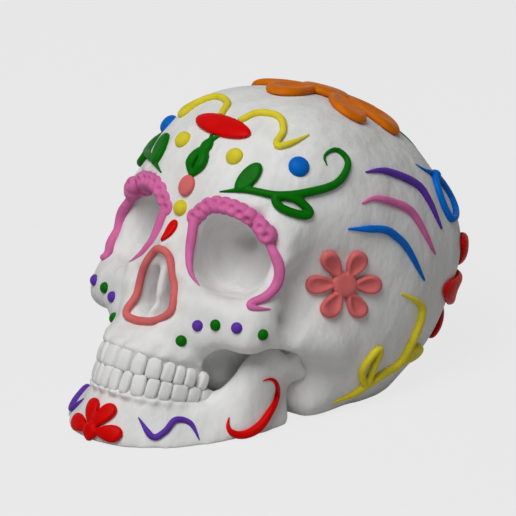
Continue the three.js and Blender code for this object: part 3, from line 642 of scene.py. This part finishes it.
def flower(plane, middle, petals, heart, height, clay=CRANIUM, rings=GROOVED, width=PETAL_WIDTH):
    """Petals round a raised heart, each given by its turn and its reach from the middle."""
    parts = []
    for turn, reach in petals:
        angle = math.radians(turn)
        start = PETAL_ROOT * heart
        root = (middle[0] + start * math.cos(angle), middle[1] + start * math.sin(angle))
        outline = petal(root, turn, reach - start, width * reach)
        parts.append(relief(plane, outline, height, rings, clay))
    parts.append(relief(plane, oval(middle, heart, heart), height * HEART_RISE, DOME, clay))
    return parts


def alike_petals(reach, turns):
    return [(turn, reach) for turn in turns]


def iced(name, parts, slot, skin=ICING_SKIN, smoothing=4):
    """The parts of an ornament run together under one smooth skin."""
    piece = joined(parts)
    piece.name = f"icing_{name}"
    edit(piece)
    bpy.ops.mesh.normals_make_consistent(inside=False)
    stop_editing()
    fine_skin(piece, skin, smoothing)
    hand_over(piece, slot, name)
    return piece


def iced_pair(name, parts, slot, skin=ICING_SKIN, smoothing=4):
    """An ornament on the skull's left, and its mirror image on the right."""
    left = iced(f"{name}_left", parts, slot, skin, smoothing)
    select_only(left)
    bpy.ops.object.duplicate()
    right = bpy.context.object
    right.name = f"icing_{name}_right"
    del right["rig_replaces"]
    edit(right)
    bpy.ops.transform.resize(value=(-1, 1, 1), center_override=(0, 0, 0))
    bpy.ops.mesh.normals_make_consistent(inside=False)
    stop_editing()
    hand_over(right, slot, f"{name}_right")


# Brow and nose.
iced("brow_dot", [button(FRONT, (0, 0), 2.7, 2.2)], "yellow_icing")
iced("brow_oval", [relief(FRONT, oval((0, 7.4), 3.1, 3.6), 2.0, DOME)], "coral_icing")
iced("nose_drop", [relief(FRONT, petal((0, -12.4), 90, 8.4, 4.6), 1.4, DOME)], "red_icing")
NOSE_RING = [
    (1, -38.7), (6.2, -37.2), (10, -34), (10.5, -30.6), (9.2, -26.8), (7.2, -22.8), (5, -18.4), (2.8, -15),
    (0, -14), (-3, -15.4), (-6.2, -20), (-8, -24.3), (-8.3, -28.5), (-7.9, -33.5), (-7.4, -38.5),
    (-3.6, -39.2),
]
iced("nose_ring", [strand(FRONT, NOSE_RING, [2.7, 2.7], 60, loop=True, rounds=4)], "coral_icing")

# Forehead.
SQUIGGLE = [
    (18.9, 27.6), (25, 30.2), (31.7, 29), (33.1, 24.6), (31, 20.8), (31.8, 19.5), (36.4, 20.9), (41.4, 23.5),
]
BUD_STRAND = [(0, 10.6), (2, 14.4), (1.7, 17.6), (-0.9, 21.6), (2.2, 26.4)]
BUD_WIDTHS = [1.2, 3.8, 3.4, 2.2, 0.8]
VINE = [
    (12.5, 5.1), (21.7, 5.5), (31.2, 3.9), (40.6, 4.8), (50.1, 7.9), (53.7, 14.3), (50.1, 18.6), (46.3, 16.7),
    (47.2, 13.5),
]
VINE_LOOP = [(30.7, 3.4), (32.1, -0.1), (39.2, -2.5), (41.4, -1.3), (36.9, 2.7)]
iced("forehead_oval", [relief(FRONT, oval((0, 28.7), 12.3, 3.4, 32), 2.2, DOME)], "red_icing")
iced_pair("forehead_dot", [button(QUARTER, (17.4, 16.5), 3, 2.2)], "yellow_icing")
iced_pair("temple_dot", [button(QUARTER, (38.1, 13.2), 3.5, 2.4)], "blue_icing")
iced_pair("squiggle", [strand(QUARTER, SQUIGGLE, [2.3, 2.5, 2.5, 2.5, 2.2, 0.8], 44)], "yellow_icing")
iced("bud", [
    strand(FRONT, BUD_STRAND, BUD_WIDTHS),
    strand(FRONT, [(-x, z) for x, z in BUD_STRAND], BUD_WIDTHS),
], "green_icing")
iced_pair("vine", [
    strand(QUARTER, VINE, [0.6, 2.4, 2.8, 3, 2.8, 2, 0.6], 50),
    relief(QUARTER, petal((17.8, 4.8), 48, 12.4, 6, 0.85), 2.2, LEAF),
    strand(QUARTER, VINE_LOOP, [3, 3], 30, loop=True),
], "green_icing")

# Round the eyes: a scalloped band over each socket, a big dot at its end and a tapering strand on each side.
EYE = head_point(21.2, 6, -9.5)
EYE_BAND = [(-11.2, 12.2), (-5.8, 16.1), (1.4, 14.9), (7.4, 11.5), (11.8, 6.7)]
EYE_INNER = [(-11.2, 11.6), (-13.4, 1.2), (-12.9, -5.9), (-9.9, -10.1)]
EYE_OUTER = [(12.8, 4.2), (15.9, -4.3), (12.4, -13), (6, -16.1), (6.9, -17.3), (13, -17.5)]
SCALLOPS = 10
RIM_STEP = 2.2
HEM_SHARE = 0.92


def round_eye(points):
    return sketch_from(QUARTER, EYE, points)


band = round_eye(EYE_BAND)
hem = round_eye([(u * HEM_SHARE, v * HEM_SHARE) for u, v in EYE_BAND])
middle_of_eye = round_eye([(0, 0)])[0]
on_rim = (middle_of_eye, RIM_STEP)
along_rim = (middle_of_eye, [RIM_STEP, RIM_STEP])
off_rim = (middle_of_eye, [RIM_STEP, 0, 0, 0, 0, 0])
scallops = [
    button(QUARTER, spot, 3, 2.8, dimple=1.6, rim=on_rim) for spot in curve_through(band, SCALLOPS)[:-1]
]
iced_pair("eye_surround", [
    strand(QUARTER, hem, [2.4, 2.8, 2.6, 2], 40, rise=0.6, rim=along_rim),
    *scallops,
    button(QUARTER, band[-1], 3.5, 3.6, dimple=1.9, rim=on_rim, facing=0.7),
    strand(QUARTER, round_eye(EYE_INNER), [3.4, 3.4, 2.4, 0.5], 30, rim=off_rim, rounds=4),
    strand(QUARTER, round_eye(EYE_OUTER), [2.8, 3.8, 3.8, 3.2, 2.4, 0.5], 40, rim=off_rim, rounds=4),
], "pink_icing", 0.22, 2)

# Cheeks and temples.
CHEEK_DOTS = [(0.2, -42.9), (5.5, -38), (11.3, -37.8), (18.1, -38.7), (26.5, -40.9)]
for number, spot in enumerate(CHEEK_DOTS):
    colour = "purple_icing" if number % 2 else "green_icing"
    iced_pair(f"cheek_dot_{number + 1}", [button(QUARTER, spot, 1.9, 1.6)], colour, 0.2)
STROKE_WIDTHS = [0.7, 2.5, 2.8, 2.6, 2, 0.9]
TEMPLE_STROKES = {
    "stroke_upper": ("purple_icing", [(59.5, 11.5), (65.7, 11.8), (75.4, 7.9), (79.8, 2.6), (84.5, -6.8)]),
    "stroke_middle": ("pink_icing", [(58.3, 1.4), (63, 3), (71.9, 0.3), (76.3, -4.1), (82.3, -14.9)]),
    "stroke_lower": ("blue_icing", [(53.8, -6.8), (64.8, -6.9), (69.2, -9.2), (73.1, -13.3), (78.8, -23.4)]),
}
for name, (colour, points) in TEMPLE_STROKES.items():
    iced_pair(name, [strand(QUARTER, points, STROKE_WIDTHS)], colour)
TEMPLE_PETALS = alike_petals(12.4, [0, 60, 120, 180, 240, 300])
iced_pair("temple_flower", flower(QUARTER, (52.4, -24.6), TEMPLE_PETALS, 4.3, 2.2, width=0.68), "coral_icing")
REAR_VINE = [
    (48.9, -63.1), (55.8, -59.9), (64.9, -53.7), (70.5, -50), (75.1, -41.9), (77.7, -34), (76.6, -30.5),
    (71.1, -27.6),
]
REAR_VINE_LOOP = [(59.6, -57.2), (58.5, -52.1), (63.3, -45.7), (64.1, -46.6), (62.3, -50.8)]
iced_pair("rear_vine", [
    strand(QUARTER, REAR_VINE, [0.7, 2.6, 2.9, 2.9, 2.9, 2.9, 0.7], 44),
    strand(QUARTER, REAR_VINE_LOOP, [2.6, 2.6], 30, loop=True),
    relief(QUARTER, petal((70.6, -50.2), 42, 9.4, 4.2), 2.6, LEAF),
], "yellow_icing")

# Lower jaw.
JAW_SQUIGGLE = [(-13.7, -67.4), (-9.1, -73.8), (-5, -72.2), (-1.7, -68.5), (3.1, -69.6), (6.1, -74.9)]
JAW_HOOK = [
    (26.4, -55.8), (30.2, -55.2), (30.4, -61.6), (25, -70.5), (18.4, -73.3), (15, -71.3), (15.7, -67.4),
]
iced_pair("jaw_squiggle", [
    strand(QUARTER, JAW_SQUIGGLE, [0.5, 2.1, 2.2, 2.2, 1.8, 0.5], 40, clay=MANDIBLE),
], "purple_icing")
iced_pair("jaw_hook", [
    strand(QUARTER, JAW_HOOK, [0.5, 2, 2.6, 3.4, 2.6, 0.5], 40, clay=MANDIBLE, rounds=4),
], "red_icing")
CHIN_PETALS = alike_petals(11.2, [9, 66, 114, 171])
iced("chin_flower", flower(FRONT, (0, -77), CHIN_PETALS, 2.6, 2.2, MANDIBLE, DOME, 0.64), "red_icing")

# Crown and back.
CROWN_PETALS = [(-90, 25), (-19, 25), (38, 27), (90, 25), (142, 27), (199, 25)]
BACK_PETALS = [
    (-36, 36), (-8, 42), (17, 37.5), (43, 31), (75, 27), (105, 27), (137, 31), (163, 37.5), (188, 42),
    (216, 36), (250, 24), (290, 24),
]
iced("crown_flower", flower(TOP, (0, 50), CROWN_PETALS, 8.5, 2.7, width=0.66), "orange_icing", 0.32)
iced("back_flower", flower(BACK, (0, 5), BACK_PETALS, 11, 2.8, width=0.36), "red_icing", 0.4)

# The ribbon is sketched from behind, from the lower end of the upper stroke.
RIBBON_TAIL = [(3.3, 22.4), (6.9, 18.7), (13.2, 14.5)]
RIBBON_LOOP = [(12.7, 14.1), (8.2, 11.2), (6.4, 6), (7.6, 0.4), (14, -0.5), (20.6, 2.6), (18.4, 9.4)]
STROKE_END = land(QUARTER, *TEMPLE_STROKES["stroke_upper"][1][-1], CRANIUM)[0]
iced_pair("back_ribbon", [
    strand(REAR, sketch_from(REAR, STROKE_END, RIBBON_TAIL), [0.5, 1.2, 2.4], 16),
    strand(REAR, sketch_from(REAR, STROKE_END, RIBBON_LOOP), [2.6, 2.6], 40, loop=True),
    button(REAR, sketch_from(REAR, STROKE_END, RIBBON_LOOP)[0], 2.2, 2.8),
], "blue_icing")
iced_pair("rear_leaf", [relief(TOP, petal((4.8, 80.2), 62, 12, 5), 1.5, LEAF)], "green_icing")


# Stage: floor, light and camera.
PAPER = linear(232, 232, 232)
GLOW = linear(240, 240, 240)


def seen_directly(nodes, links):
    """1 for what the camera sees, also by reflection or through glass, and 0 for light on the object."""
    path = nodes.new("ShaderNodeLightPath")
    seen = path.outputs["Is Camera Ray"]
    for ray in ("Is Glossy Ray", "Is Transmission Ray"):
        either = nodes.new("ShaderNodeMath")
        either.operation = "MAXIMUM"
        links.new(seen, either.inputs[0])
        links.new(path.outputs[ray], either.inputs[1])
        seen = either.outputs["Value"]
    return seen


def floor():
    bpy.ops.mesh.primitive_plane_add(size=8)
    obj = bpy.context.object
    obj.name = "floor"
    material, nodes, links, shader = shader_of("paper")
    shader.inputs["Base Color"].default_value = linear(186, 186, 186)
    shader.inputs["Roughness"].default_value = 0.9
    glow = nodes.new("ShaderNodeEmission")
    glow.inputs["Color"].default_value = GLOW
    keep_shadow = nodes.new("ShaderNodeMath")
    keep_shadow.operation = "MULTIPLY"
    keep_shadow.inputs[1].default_value = 0.88
    mix = nodes.new("ShaderNodeMixShader")
    links.new(seen_directly(nodes, links), keep_shadow.inputs[0])
    links.new(keep_shadow.outputs["Value"], mix.inputs["Fac"])
    links.new(shader.outputs["BSDF"], mix.inputs[1])
    links.new(glow.outputs["Emission"], mix.inputs[2])
    links.new(mix.outputs["Shader"], nodes["Material Output"].inputs["Surface"])
    obj.data.materials.append(material)


def lamp(name, spot, size, power, aim=(0, 0, 0.05)):
    bpy.ops.object.light_add(type="AREA", location=spot)
    obj = bpy.context.object
    obj.name = name
    obj.data.size = size
    obj.data.energy = power
    obj.rotation_mode = "QUATERNION"
    obj.rotation_quaternion = (Vector(aim) - Vector(spot)).to_track_quat("-Z", "Y")


def surroundings():
    world = bpy.data.worlds.new("studio")
    bpy.context.scene.world = world
    world.use_nodes = True
    nodes, links = world.node_tree.nodes, world.node_tree.links
    background = nodes["Background"]
    background.inputs["Color"].default_value = PAPER
    level = nodes.new("ShaderNodeMapRange")
    level.inputs["To Min"].default_value = 0.165
    level.inputs["To Max"].default_value = 1
    links.new(seen_directly(nodes, links), level.inputs["Value"])
    links.new(level.outputs["Result"], background.inputs["Strength"])


def camera():
    """The photo's view: from the front left and a little above, through a very long lens."""
    toward = QUARTER[2]
    bpy.ops.object.camera_add(location=CAMERA_AIM + toward * CAMERA_DISTANCE)
    obj = bpy.context.object
    obj.data.lens = CAMERA_LENS
    obj.data.clip_end = 100
    obj.rotation_mode = "QUATERNION"
    obj.rotation_quaternion = toward.to_track_quat("Z", "Y")
    bpy.context.scene.camera = obj


select_only()
floor()
lamp("key", (0.24, -0.66, 1.02), 0.7, 11)
surroundings()
camera()
bpy.context.scene.view_settings.view_transform = "Standard"
